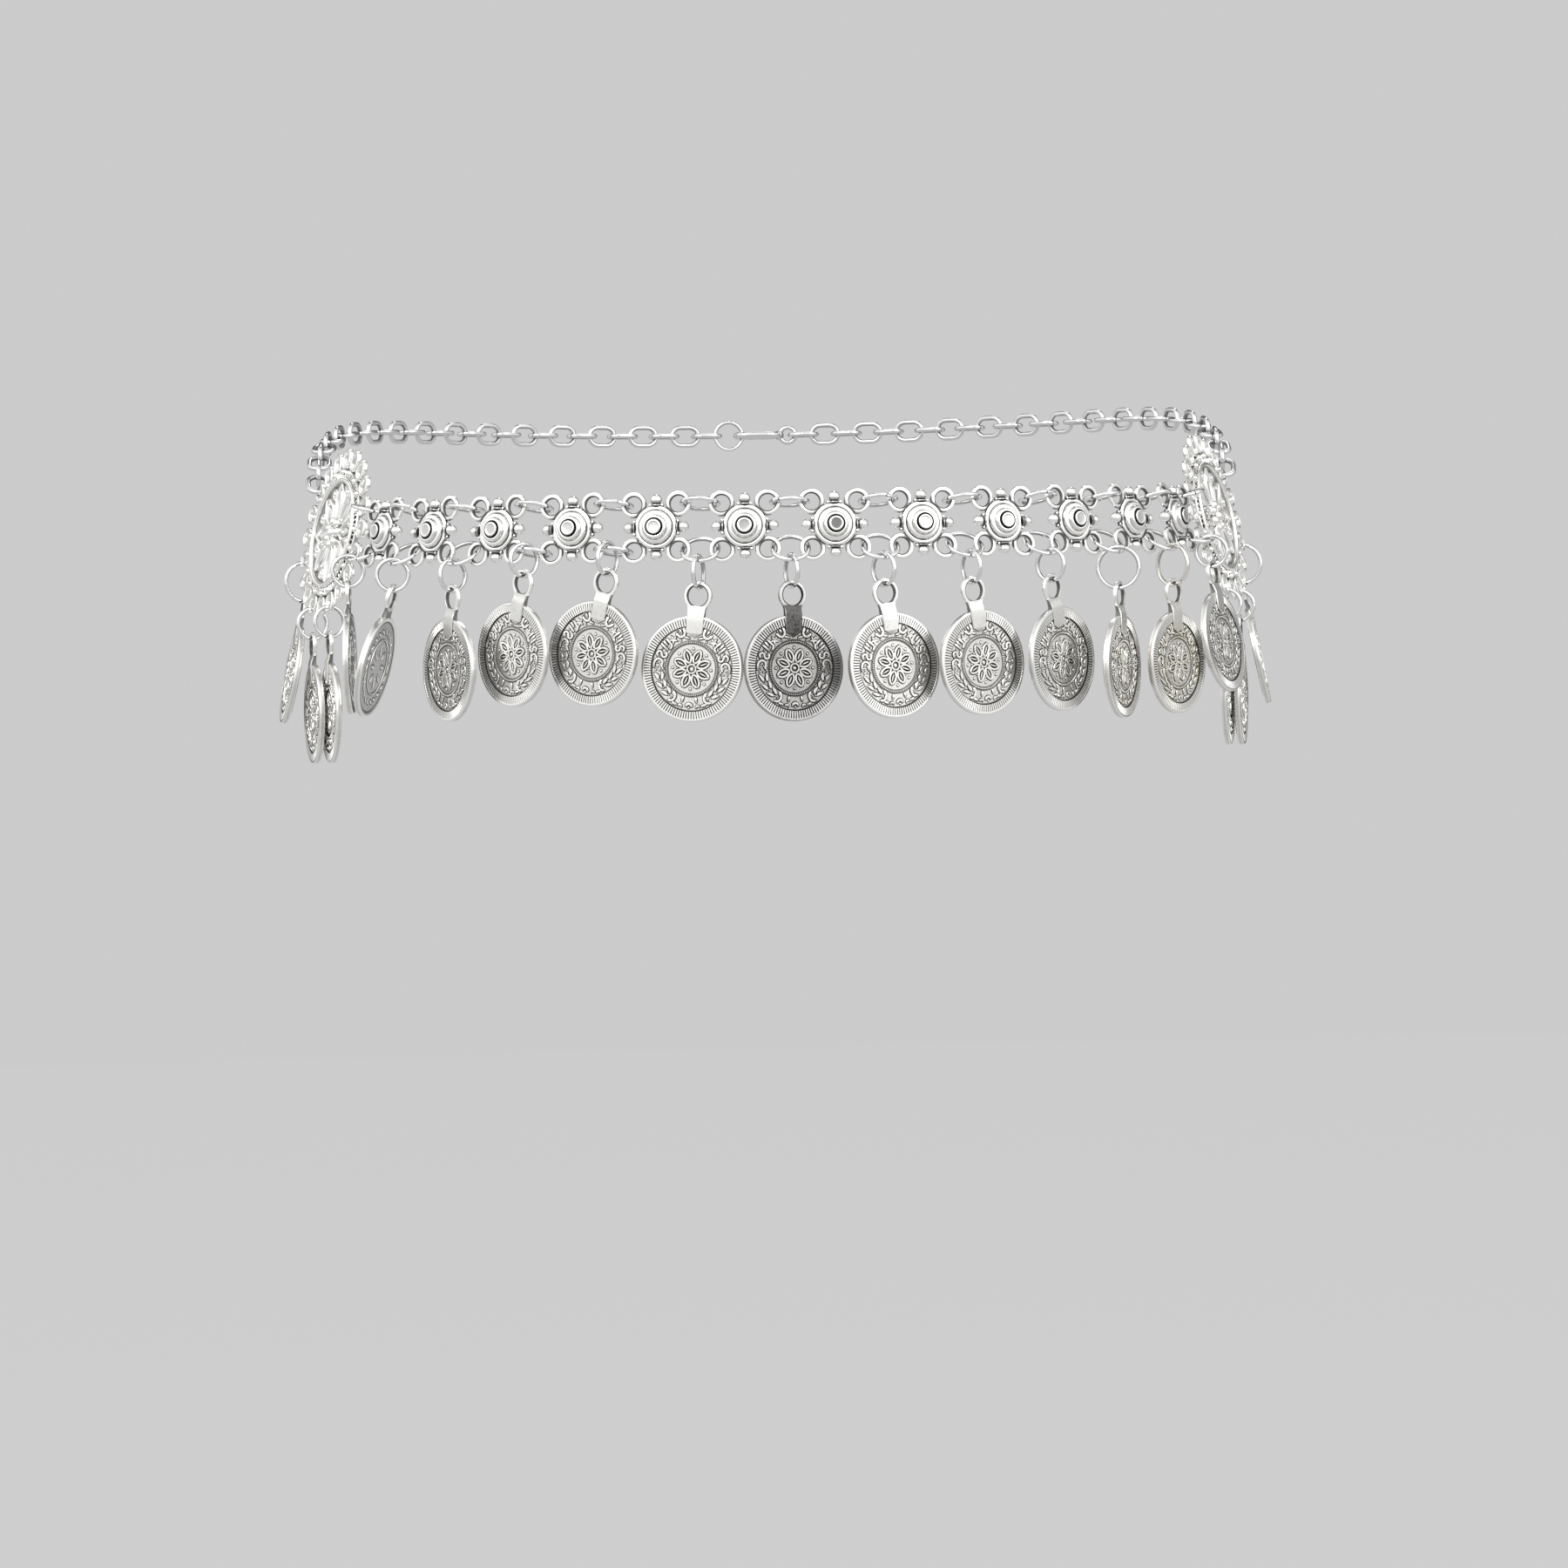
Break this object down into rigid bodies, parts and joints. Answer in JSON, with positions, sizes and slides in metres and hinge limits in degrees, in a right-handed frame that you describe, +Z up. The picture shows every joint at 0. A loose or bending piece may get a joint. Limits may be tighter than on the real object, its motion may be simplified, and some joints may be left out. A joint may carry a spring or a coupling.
{
  "type": "forehead chain",
  "caption": "Forehead chain of stepped silver links with hanging ribbed coins, a pierced medallion at each temple and a plain chain that closes the loop behind the head.",
  "frame": {"origin": "the middle of the head loop, level with the middles of the front links", "axes": "-Y to the front, where the links lie on the brow; +Z up; +X to the right as seen from the front"},
  "size_m": [0.2022, 0.1934, 0.0755],
  "materials": {
    "link_silver": "cast, polished on the steps and balls, blackened in the grooves",
    "coin_silver": "struck, bright on the raised parts, dark grey in the recesses",
    "dark_coin_silver": "struck, tarnished dark grey all over",
    "medallion_silver": "cast and pierced, polished bright",
    "ring_steel": "drawn wire, smooth and bright",
    "chain_steel": "drawn wire, smooth and bright"
  },
  "bodies": {
    "root": {"link_1": "link_silver", "link_2": "link_silver", "link_3": "link_silver", "link_4": "link_silver", "link_5": "link_silver", "link_6": "link_silver", "link_7": "link_silver", "link_8": "link_silver", "link_9": "link_silver", "link_10": "link_silver", "link_11": "link_silver", "link_12": "link_silver", "coin_1": "coin_silver", "coin_2": "coin_silver", "coin_3": "coin_silver", "coin_4": "coin_silver", "coin_5": "coin_silver", "coin_6": "coin_silver", "coin_7": "dark_coin_silver", "coin_8": "coin_silver", "coin_9": "coin_silver", "coin_10": "coin_silver", "coin_11": "coin_silver", "coin_12": "coin_silver", "coin_13": "coin_silver", "medallion_left": "medallion_silver", "medallion_right": "medallion_silver", "coin_left_1": "coin_silver", "coin_left_2": "coin_silver", "coin_left_3": "coin_silver", "coin_right_1": "coin_silver", "coin_right_2": "coin_silver", "coin_right_3": "coin_silver", "upper_join_rings": "ring_steel", "lower_join_rings": "ring_steel", "coin_rings": "ring_steel", "rings_left": "ring_steel", "rings_right": "ring_steel", "back_chain_left": "chain_steel", "back_chain_right": "chain_steel", "clasp": "chain_steel", "clasp_ring": "chain_steel"}
  },
  "joints": []
}
